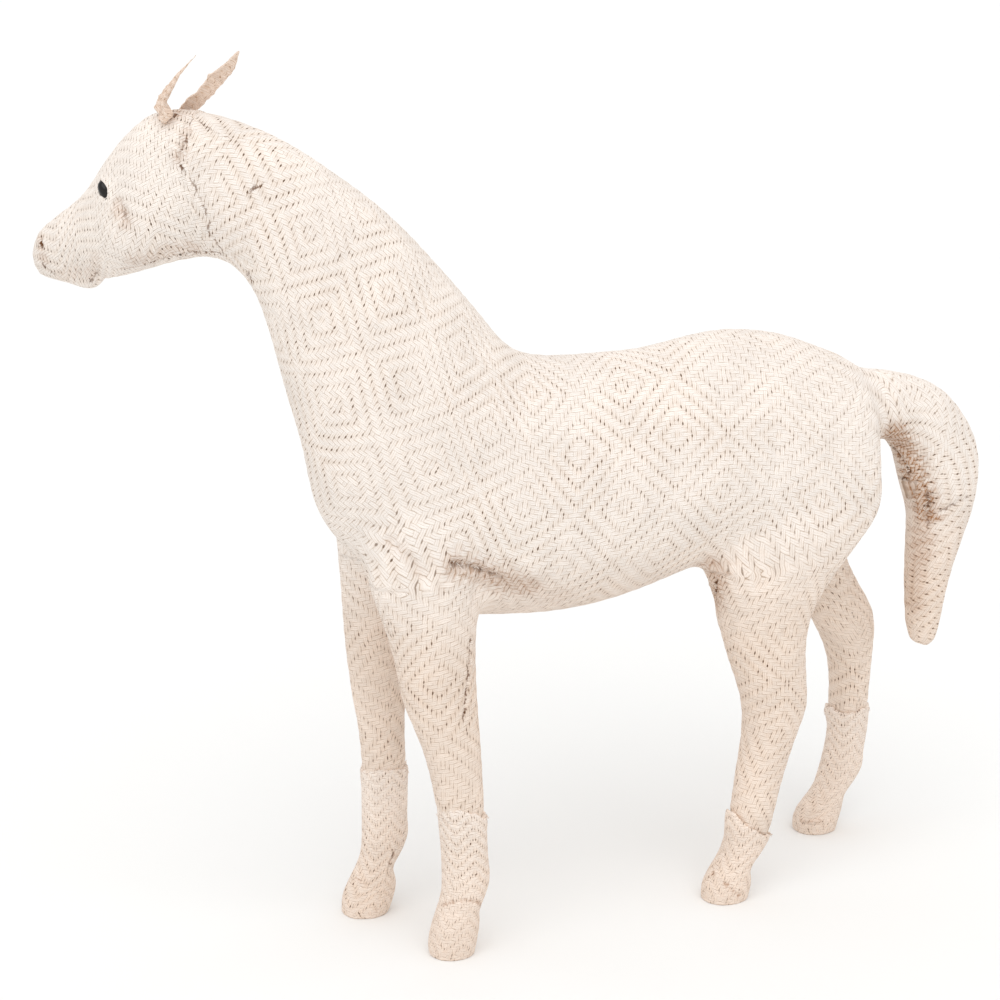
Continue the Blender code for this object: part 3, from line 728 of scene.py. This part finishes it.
ELBOW_CREASE = [(-50, -68, 322), (-34, -65, 317), (-21, -63, 310), (-10, -63, 304)]
BODY_MARKS = [
    # the crease behind the elbow, and the folds that run from it; the soft marks paint the shade in the
    # folds, under the elbow and along the belly
    (ELBOW_CREASE, 2.6, 3.4, 0.55),
    ([(-6, -68, 319), (4, -66, 309), (14, -63, 299)], 3.2, 1.4, 0.12),
    ([(-21, -63, 306), (-6, -62, 296), (18, -61, 290)], 8.0, 2.2, 0.25),
    ([(-48, -67, 320), (-21, -63, 310), (-2, -62, 300), (20, -61, 290)], 8.0, 0.0, 0.42),
    ([(18, -61, 290), (55, -55, 278)], 9.0, 0.5, 0.14),
    ([(-52, -69, 314), (-57, -70, 306), (-60, -70, 298)], 3.0, 1.0, 0.10),
    # folds that fan out from the front of the shoulder, with painted shade in them
    ([(-87, -62, 344), (-82, -66, 335), (-76, -68, 329), (-70, -70, 316)], 2.8, 1.6, 0.15),
    ([(-84, -64, 338)], 2.0, 1.0, 0.9),
    # the seam down the back of the near fore leg
    ([(-33, -64, 258), (-34, -65, 246), (-35, -66, 235), (-38, -67, 220), (-39, -68, 212), (-41, -69, 199)],
     1.5, 1.6, 0.8),
    # the flank, where the cloth is drawn into the groin and darned, with painted shade over the fold
    ([(185, -46, 287), (190, -46, 268), (191, -39, 252)], 9.0, 2.2, 0.40),
    ([(188, -46, 270), (190, -44, 262), (191, -39, 252)], 2.2, 1.6, 0.85),
    ([(237, -73, 229)], 2.2, 1.4, 1.0),
    # the seam on the underside of the tail's root, and the fold down its inner side, with a painted shadow
    # inside the tail's curve that fades out down the tail
    ([(378, 2, 349), (384, -4, 341), (387, -9, 334), (390, -11, 328), (390, -7, 320), (389, 1, 320)],
     1.9, 1.8, 0.9),
    ([(367, -19, 368), (380, -12, 352), (391, -13, 330), (398, -14, 312), (404, -16, 300), (406, -16, 283)],
     9.5, 0.0, 0.66),
    ([(404, -13, 276), (403, -11, 250)], 9.0, 0.0, 0.35),
    ([(403, -9, 240), (402, -8, 205)], 7.0, 0.0, 0.22),
    ([(404, -19, 309), (406, -17, 295), (406, -16, 283)], 2.8, 2.6, 0.7),
    ([(417, -22, 294), (427, -25, 299), (439, -25, 303)], 2.0, 1.5, 0.55),
    # broken stitches of a second row behind the cheek, and the knot at the throat
    ([(-154, -22, 622)], 1.9, 1.0, 0.8),
    ([(-158, -30, 606), (-162, -32, 602)], 1.7, 1.0, 0.8),
    ([(-166, -35, 574)], 1.8, 1.0, 0.7),
    ([(-169, -32, 555)], 1.8, 1.0, 0.7),
    ([(-169, -25, 538), (-168, -23, 534)], 2.6, 1.6, 0.85),
    ([(-203, -17, 551), (-187, -21, 551)], 1.6, 1.2, 0.7),
    # the lacing behind the cheek, below the hood's own edge
    ([(-209, -33, 609), (-207, -33, 607), (-203, -33, 603), (-201, -34, 598), (-199, -34, 594),
      (-197, -33, 591), (-194, -33, 581), (-193, -31, 576), (-196, -29, 570), (-194, -28, 566),
      (-190, -26, 560), (-188, -25, 555)], 1.3, 0.5, 0.7),
    ([(-207, -14, 647), (-199, -16, 644), (-192, -18, 641), (-185, -18, 638)], 0.9, 0.0, 0.5),
    # the flap at the front of the far hind cuff leaves a slit, then a row of stitch holes
    ([(356, 50, 104), (357, 49, 99), (358, 47, 90), (359, 42, 86), (363, 35, 80), (367, 33, 76)],
     1.5, 1.2, 0.9),
]

body = skin_of("body", "body_cover", BODY_CELL, 4)
flat = straightened(spots_of(body.data))
on_neck = (flat[:, 0] < NECK_END[0]) & (flat[:, 2] > NECK_END[1])
past = np.where(on_neck, -past_hood(flat), FAR_OFF)
tuck(body.data, past, -BACKWARD, reach=7.0, push=2.5, swell=-0.5)
for leg in LEGS:
    past = np.where(near_leg(flat, leg), -past_cuff(flat, leg), FAR_OFF)
    tuck(body.data, past, -UP, reach=14.0, push=2.5, swell=-1.1)
raise_weave(body.data, body_strands, RINGS_ALONG, RINGS_ROUND, RIB_DEPTH)
mark_seams(body.data, BODY_MARKS, False)
loose_ends(body.data, [
    (ELBOW_CREASE, 12, 4.0),
    ([(-35, -65, 259), (-34, -65, 235), (-35, -66, 219)], 12, 3.5),
    ([(188, -46, 270), (191, -39, 252)], 8, 3.0),
    ([(384, -5, 342), (389, -11, 331), (391, -6, 318)], 9, 3.5),
    ([(404, -19, 309), (406, -16, 283)], 9, 3.5),
    ([(-169, -25, 540), (-168, -23, 533)], 8, 4.0),
    ([(-154, -22, 622), (-162, -32, 602), (-166, -35, 574), (-169, -32, 555)], 12, 3.0),
], 1.0, random.Random(5))
lay_strands(body.data, body_strands)
body.data.materials.append(cover_paper)
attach(body, "root")
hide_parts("body")


# The head cover
# A second cloth of twisted paper, its strands a size finer, drawn over the head like a hood and turned in at
# a seam behind the cheeks and under the jaw, where it is laced to the cover of the neck.
HEAD_STRAND = 2.9  # millimetres from one strand to the next
HEAD_CELL = 0.00083
HEAD_LEAN = radians(-18.0)  # of the strands, off the line of the head
HEAD_ZIGZAG = 8
HEAD = [
    (-163, 642, -177, 531, 35, 0.05),
    (-195, 651, -204, 544, 34, 0.00),
    (-223, 655, -242, 536, 34, -0.05),
    (-252, 651, -275, 525, 34, -0.10),
    (-279, 627, -302, 518, 31, -0.20),
    (-306, 591, -324, 515, 25, -0.15),
    (-332, 571, -342, 517, 21, 0.00),
    (-347, 560, -351, 519, 18, 0.00),
]


def head_strands(spots, corner, centre):
    """Strand numbers on the head, leaning across its length, and carried on over the forehead."""
    along, raised = round_place(spots, corner, centre, HEAD)
    return ((along * cos(HEAD_LEAN) + raised * sin(HEAD_LEAN)) / HEAD_STRAND,
            (raised * cos(HEAD_LEAN) - along * sin(HEAD_LEAN)) / HEAD_STRAND)


NO_TURN = 4000  # strands before the twill turns back: never
HOOD_COLOURS = ("5A412C", "8A7262", "C4B4A6", "EBE2D9", "F4ECE5", "F8F1EA")
head_paper = woven_paper("hand_twisted_paper_hood", HEAD_ZIGZAG, NO_TURN, HOOD_COLOURS,
                         0.6, 1.1, (0.0, 0.1))
HEAD_MARKS = [
    # nostrils, mouth and the crease behind the chin, with painted shade under the chin and the jaw and along
    # the front of the muzzle
    ([(-342, -16, 552), (-340, -19, 546)], 1.9, 1.6, 1.0),
    ([(-342, -18, 535), (-339, -16, 529), (-335, -14, 526), (-331, -12, 523)], 1.2, 1.4, 0.65),
    ([(-307, -9, 518), (-303, -10, 521), (-299, -10, 526), (-297, -13, 531)], 1.3, 1.6, 0.6),
    ([(-327, -13, 524), (-313, -17, 527), (-302, -16, 527)], 6.0, 0.0, 0.15),
    ([(-344, -14, 554), (-341, -19, 544), (-338, -19, 535)], 4.0, 0.0, 0.25),
    ([(-293, -23, 543), (-294, -20, 538), (-296, -17, 532)], 3.5, 0.0, 0.15),
    # the crease behind the eye, darkened with painted shade along it and in a patch beside it
    ([(-266, -33, 586), (-261, -34, 580), (-259, -35, 573)], 3.0, 1.6, 0.20),
    ([(-263, -34, 583), (-260, -35, 575)], 1.2, 0.8, 0.5),
    ([(-265, -34, 580), (-261, -35, 574)], 5.0, 0.0, 0.25),
    # painted shade under the jaw and between the ears
    ([(-261, -27, 542), (-239, -22, 547), (-215, -19, 554)], 6.0, 0.0, 0.22),
    ([(-231, -14, 650), (-232, -2, 654), (-234, 8, 653)], 6.0, 0.0, 0.40),
    ([(-223, 3, 653), (-213, 0, 652)], 7.0, 0.0, 0.20),
    ([(-228, -7, 653), (-229, -12, 651), (-231, -14, 649)], 1.6, 1.0, 0.9),
    # the seam under the jaw
    ([(-276, -15, 533), (-262, -18, 536), (-251, -20, 540)], 1.1, 0.8, 0.3),
    ([(-251, -20, 540), (-232, -15, 544), (-218, -15, 549), (-203, -17, 551)], 1.4, 1.5, 0.85),
    # the lacing at the poll and down the cheek
    ([(-224, -9, 652)], 1.1, 0.8, 0.8),
    ([(-213, -12, 649), (-213, -17, 645), (-214, -19, 642)], 1.2, 1.0, 0.9),
    ([(-213, -23, 639), (-213, -26, 633), (-215, -28, 630), (-218, -30, 623)], 1.3, 1.0, 0.85),
    ([(-213, -22, 640), (-215, -28, 630), (-218, -30, 623)], 4.5, 0.0, 0.25),
    ([(-217, -31, 619), (-214, -32, 616), (-210, -32, 612)], 1.3, 1.0, 0.95),
]
HEAD_MARKS += [([(x, -y, z) for x, y, z in path], *rest) for path, *rest in HEAD_MARKS]

head = skin_of("head", "head_cover", HEAD_CELL, 6)
flat = straightened(spots_of(head.data))
round_head = np.arctan2(flat[:, 2] - 600.0, flat[:, 1])  # for a hem that wavers
hem = 2.4 + 0.9 * np.sin(round_head * 7) + 0.5 * np.sin(round_head * 19 + 1) + 0.35 * np.sin(round_head * 41)
tuck(head.data, past_hood(flat), BACKWARD, reach=6.0, push=hem, swell=0.75)
raise_weave(head.data, head_strands, HEAD_ZIGZAG, NO_TURN, RIB_DEPTH)

# the lids: the rim of each eye's socket, swollen and drawn in to a leaf's outline with pointed ends
EYE_AT = (-279.0, 595.0)  # x and z on the straight horse
EYE_HALF = (8.0, 5.0)
EYE_TILT = radians(60.0)
LID_SWELL = 1.1
LID_EDGE = 1.15  # out to what share of the half sizes the lids are full, and how softly they end
LID_SOFTNESS = 0.3
EYE_SIDE = 14  # how far out from the middle plane an eye's surroundings begin
SIDEWAYS = np.array([sin(NECK_TURN), cos(NECK_TURN), 0.0])
flat = straightened(spots_of(head.data))
off_x, off_z = flat[:, 0] - EYE_AT[0], flat[:, 2] - EYE_AT[1]
eye_along = off_x * cos(EYE_TILT) - off_z * sin(EYE_TILT)
eye_up = off_x * sin(EYE_TILT) + off_z * cos(EYE_TILT)
rim = np.hypot(eye_along / EYE_HALF[0], eye_up / EYE_HALF[1])
share = np.exp(-(np.maximum(rim - LID_EDGE, 0.0) / LID_SOFTNESS) ** 2) * (np.abs(flat[:, 1]) > EYE_SIDE)
end = np.clip((eye_along / EYE_HALF[0]) ** 2, 0.0, 1.0)
draw_in = -np.sign(eye_up) * share * (0.5 + 1.0 * 4 * end * (1 - end))
lids = (np.sign(flat[:, 1]) * share * LID_SWELL)[:, None] * SIDEWAYS
lids += (draw_in * sin(EYE_TILT))[:, None] * BACKWARD + (draw_in * cos(EYE_TILT))[:, None] * UP
move_spots(head.data, spots_of(head.data) + lids * 0.001)
mark_seams(head.data, HEAD_MARKS, True)
loose_ends(head.data, [
    ([(-216, -12, 650), (-217, -25, 634), (-213, -31, 616), (-208, -34, 596), (-204, -31, 575)], 26, 3.0),
    ([(-251, -20, 540), (-232, -15, 544), (-218, -15, 549), (-204, -17, 551)], 20, 3.0),
    ([(-216, 12, 650), (-213, 31, 616), (-208, 34, 596), (-204, 31, 575)], 16, 3.0),
], 0.8, random.Random(11))
lay_strands(head.data, head_strands)
head.data.materials.append(head_paper)
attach(head, "root")
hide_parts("head")


# The lower leg sleeves
# Four tubes of thinner paper strands in a rougher twill, pulled on from below and closed round the hooves,
# each with a raised cuff where it ends on the leg.
SLEEVE_STRAND = 2.4  # millimetres from one strand to the next
SLEEVE_CELL = 0.00078
SLEEVE_ZIGZAG = 6
SLEEVE_RIB = 0.00010


def sleeve_strands(leg):
    def strands(spots, corner, centre):
        aft, height, _ = leg_place(spots, corner, centre, leg)
        return aft / SLEEVE_STRAND, height / SLEEVE_STRAND
    return strands


SLEEVE_COLOURS = ("654932", "94796A", "C8B6A6", "EEE3DA", "F4EBE3", "F6EDE4")
sleeve_paper = woven_paper("hand_twisted_paper_sleeve", SLEEVE_ZIGZAG, NO_TURN, SLEEVE_COLOURS,
                           1.2, 1.0, (0.0, 0.2))
SLEEVE_MARKS = {
    "left_fore": [
        ([(-58, -60, 100), (-52, -64, 97), (-47, -66, 95)], 1.0, 0.9, 0.6),
        ([(-53, -53, 39), (-48, -61, 44), (-40, -67, 47), (-29, -68, 43), (-24, -62, 38)], 1.2, 1.0, 0.35),
    ],
    "right_fore": [
        ([(-56, 35, 52), (-60, 35, 44), (-63, 34, 36)], 1.2, 1.1, 0.7),
        ([(-47, 38, 116), (-50, 36, 108)], 1.0, 0.9, 0.7),
        ([(-93, 44, 29), (-86, 38, 26), (-76, 35, 24)], 1.0, 0.8, 0.3),
    ],
    "left_hind": [
        ([(190, -48, 21), (195, -63, 15), (206, -67, 4)], 1.2, 1.2, 0.45),
    ],
    "right_hind": [
        ([(328, 42, 9), (334, 34, 9), (342, 30, 11)], 1.4, -1.2, 0.2),
        ([(357, 37, 98), (360, 36, 92), (362, 35, 84)], 1.1, 0.9, 0.7),
    ],
}
CUFF_FLAP = {"left_hind": 0.4, "right_hind": 2.6}  # how far a flap stands out in front, millimetres
# Behind each foot, in millimetres: the level of the fetlock and how far it stands out, then the level of the
# hollow below it and how deep it is.
FETLOCKS = {
    "left_fore": (60, 1.5, 35, 3.0),
    "right_fore": (61, 3.0, 35, 5.0),
    "left_hind": (40, 0.4, 25, 6.5),
    "right_hind": (50, 3.5, 29, 4.0),
}
FETLOCK_REACH = 12.0
HOLLOW_REACH = 10.0


def shape_fetlock(mesh, leg):
    bulge_level, bulge, hollow_level, hollow = FETLOCKS[leg]
    level = straightened(spots_of(mesh))[:, 2]
    behind = np.clip(normals_of(mesh)[:, 0], 0.0, 1.0) ** 0.7
    out = bulge * np.exp(-((level - bulge_level) / FETLOCK_REACH) ** 2)
    shift = out - hollow * np.exp(-((level - hollow_level) / HOLLOW_REACH) ** 2)
    move_spots(mesh, spots_of(mesh) + (shift * behind)[:, None] * np.array([0.001, 0.0, 0.0]))


for leg in LEGS:
    sleeve = skin_of(leg + "_sleeve", leg + "_sleeve_cover", SLEEVE_CELL, 5)
    shape_fetlock(sleeve.data, leg)
    flat = straightened(spots_of(sleeve.data))
    _, middle_x, _, middle_y, _ = LEGS[leg][3]
    round_leg = np.arctan2(flat[:, 1] - middle_y, flat[:, 0] - middle_x)
    rises = np.array(CUFFS[leg][3], float)
    hem = 2.6 + np.interp(flat[:, 0], rises[:, 0], rises[:, 1]) + 0.45 * np.sin(round_leg * 8) + (
        0.35 * np.sin(round_leg * 17 + 2))
    front_share = 0.5 - 0.5 * np.cos(round_leg)
    proud = 0.9 if leg.endswith("fore") else 0.15 + 0.8 * front_share + CUFF_FLAP[leg] * front_share ** 9
    tuck(sleeve.data, past_cuff(flat, leg), UP, reach=15.0, push=hem, swell=proud)
    raise_weave(sleeve.data, sleeve_strands(leg), SLEEVE_ZIGZAG, NO_TURN, SLEEVE_RIB)
    mark_seams(sleeve.data, SLEEVE_MARKS[leg], True)
    _, front, back, _ = CUFFS[leg]
    level = (front + back) / 2 + 3
    rim = [(middle_x + 21 * cos(turn), middle_y + 20 * sin(turn), level + (back - front) * cos(turn) * 0.22)
           for turn in np.linspace(0, 2 * pi, 17)]
    loose_ends(sleeve.data, [(rim, 34, 3.0)], 0.8, random.Random(len(leg)))
    lay_strands(sleeve.data, sleeve_strands(leg))
    sleeve.data.materials.append(sleeve_paper)
    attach(sleeve, "root")
    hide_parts(leg + "_sleeve")


# The ears
# Two leaves of tan paper cloth, folded along their length, their open edges left raw and their roots
# tucked under a pleat of the head cover.
EAR_CELL = 0.0008
EAR_STRAND = 1.6  # millimetres from one strand to the next
EAR_RIB = 0.0002
EAR_ZIGZAG = 4
EAR_LINES = {  # from root to tip, on the straight horse
    "left_ear": ((-248, -17, 642), (-208, -20, 699)),
    "right_ear": ((-242, 17, 640), (-190, 21, 696)),
}


def ear_strands(ear):
    root, tip = (np.array(end, float) for end in EAR_LINES[ear])
    ahead = (tip - root) / np.linalg.norm(tip - root)
    across = np.cross(ahead, (0.0, 1.0, 0.0)) + np.array([0.0, 0.6, 0.0])

    def strands(spots, corner, centre):
        here = spots[corner] - root
        return here @ across / EAR_STRAND, here @ ahead / EAR_STRAND
    return strands


EAR_COLOURS = ("7E5F45", "A98868", "D0B39A", "E5CEBB", "EEDDD0", "EEE0D2")
ear_paper = woven_paper("tan_paper_ear_cloth", EAR_ZIGZAG, NO_TURN, EAR_COLOURS, 1.8, 0.7, (0.0, 0.1))

# Up each ear from its root: how wide it is as a share of the leaf it is cut from, and how far its middle is
# set back, in millimetres.  The near ear is a blade on a wide pleat; the far one is a strap with a torn edge.
EAR_SHAPES = {
    "left_ear": [
        (0.0, 0.8, 4.0), (0.12, 0.8, 4.0), (0.20, 1.05, 2.0), (0.36, 1.05, 1.5), (0.45, 0.94, 1.1),
        (0.60, 0.66, 0.7), (0.70, 0.50, 0.2), (0.80, 0.38, 1.2), (0.90, 0.26, 2.0), (0.97, 0.20, 3.1),
    ],
    "right_ear": [
        (0.10, 0.80, 0.6), (0.20, 0.64, -0.8), (0.31, 0.64, -0.6), (0.36, 0.58, -0.1), (0.42, 0.54, 0.8),
        (0.50, 0.60, 0.7), (0.57, 0.63, 0.5), (0.61, 0.72, 0.0), (0.64, 0.80, -0.2), (0.67, 0.76, 0.5),
        (0.75, 0.74, 1.4), (0.83, 0.83, 1.9), (0.90, 0.78, 1.3), (0.97, 0.64, 0.3),
    ],
}
NEAR_EAR_PLEAT = [
    (0.0, 3.0), (0.12, 6.0), (0.20, 10.0), (0.30, 12.5), (0.33, 11.5), (0.355, 1.0), (0.37, 0.0),
]
NEAR_ROOT_INWARD = [(0.0, 9.0), (0.13, 9.0), (0.20, 0.0)]  # its root goes in under the hood


def shape_ear(mesh, ear_name):
    root, tip = (np.array(end, float) for end in EAR_LINES[ear_name])
    flat = straightened(spots_of(mesh))
    share = (flat - root) @ (tip - root) / ((tip - root) @ (tip - root))
    line = root + share[:, None] * (tip - root)
    back_set = np.array([tip[2] - root[2], 0.0, root[0] - tip[0]])
    back_set /= np.linalg.norm(back_set)
    off = flat - line
    off_back = off @ back_set
    rest = off - off_back[:, None] * back_set
    torn = 1.0 + 0.04 * np.sin(share * 43) + 0.03 * np.sin(share * 91 + 1)
    rows = np.array(EAR_SHAPES[ear_name])
    wide = np.interp(share, rows[:, 0], rows[:, 1]) * torn
    back = np.interp(share, rows[:, 0], rows[:, 2])
    if ear_name == "left_ear":
        back += np.interp(share, *np.array(NEAR_EAR_PLEAT).T) * eased((off_back + 4.0) / 9.0)
        line[:, 1] += np.interp(share, *np.array(NEAR_ROOT_INWARD).T)
    move_spots(mesh, bent(line + (off_back * wide + back)[:, None] * back_set
                          + rest * (0.4 + 0.6 * np.minimum(wide, 1.3))[:, None]))


for ear_name in EAR_LINES:
    ear = skin_of(ear_name, ear_name + "_leaf", EAR_CELL, 2)
    shape_ear(ear.data, ear_name)
    lay_strands(ear.data, ear_strands(ear_name))
    raise_weave(ear.data, ear_strands(ear_name), EAR_ZIGZAG, NO_TURN, EAR_RIB)
    ear.data.materials.append(ear_paper)
    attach(ear, "root")
    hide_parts(ear_name)


# The eyes
# Black glass beads, pressed into sockets in the hood.
eye_glass, glass_tree, glass_shader = new_finish("black_glass_bead", 0.06, 0.35)
on_bead = add(glass_tree, "ShaderNodeTexCoord").outputs["Object"]
cloud = add(glass_tree, "ShaderNodeTexNoise", {"Vector": on_bead, "Scale": 260.0, "Detail": 2.0})
cloud_tone = add(glass_tree, "ShaderNodeValToRGB", [cloud.outputs[0]])
cloud_tone.color_ramp.elements[0].color = linear("050506")
cloud_tone.color_ramp.elements[1].color = linear("1A1512")
glass_tree.links.new(cloud_tone.outputs[0], glass_shader.inputs["Base Color"])
for eye_name in ("left_eye", "right_eye"):
    bead = placed_shape(eye_name + "_bead", joined(eye_name))
    bead.data.shade_smooth()
    rounded = bead.modifiers.new("round the bead", "SUBSURF")
    rounded.levels = rounded.render_levels = 2
    bead.data.materials.append(eye_glass)
    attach(bead, "root")
    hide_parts(eye_name)


# Floor, light and camera
# A plain pale floor and backdrop, one far softbox from the camera's side in an even pale surround, and the
# camera at the photograph's angle.
FLOOR_COLOUR = "EFEFEE"
FLOOR_REACH = 20.0
SURROUND_STRENGTH = 0.95
shape = bmesh.new()
bmesh.ops.create_grid(shape, x_segments=1, y_segments=1, size=FLOOR_REACH)
floor = placed_shape("studio_floor", shape)
floor_paint, _, paint_shader = new_finish("matt_white_board", 0.9)
paint_shader.inputs["Base Color"].default_value = linear(FLOOR_COLOUR)
floor.data.materials.append(floor_paint)

world = bpy.data.worlds.new("studio")
bpy.context.scene.world = world
bpy.context.scene.view_settings.view_transform = "Standard"
world.use_nodes = True
surround = world.node_tree.nodes["Background"]
surround.inputs["Color"].default_value = (1.0, 1.0, 1.0, 1.0)
surround.inputs["Strength"].default_value = SURROUND_STRENGTH


def soft_light(name, aim, softness, power):
    """A far softbox: its light comes from one side, from an area as wide as the softness in degrees."""
    lamp = bpy.data.lights.new(name, "SUN")
    lamp.angle = radians(softness)
    lamp.energy = power
    light = placed(name, lamp)
    light.rotation_euler = Vector(aim).to_track_quat("-Z", "Y").to_euler()


soft_light("key_softbox", aim=(0.30, 0.60, -1.0), softness=60.0, power=0.95)

VIEW_AZIMUTH = radians(-25.0)
VIEW_ELEVATION = radians(16.0)
VIEW_DISTANCE = 2.2
FRAME_WIDTH = 0.76  # metres across the picture at the target
SENSOR_WIDTH = 36.0  # millimetres
target = Vector((-0.0819, -0.0947, 0.363))
back = Vector((sin(VIEW_AZIMUTH) * cos(VIEW_ELEVATION), -cos(VIEW_AZIMUTH) * cos(VIEW_ELEVATION),
               sin(VIEW_ELEVATION)))
camera = placed("camera", bpy.data.cameras.new("camera"))
camera.data.sensor_width = SENSOR_WIDTH
camera.data.lens = SENSOR_WIDTH * VIEW_DISTANCE / FRAME_WIDTH
camera.location = target + back * VIEW_DISTANCE
camera.rotation_euler = (-back).to_track_quat("-Z", "Y").to_euler()
bpy.context.scene.camera = camera
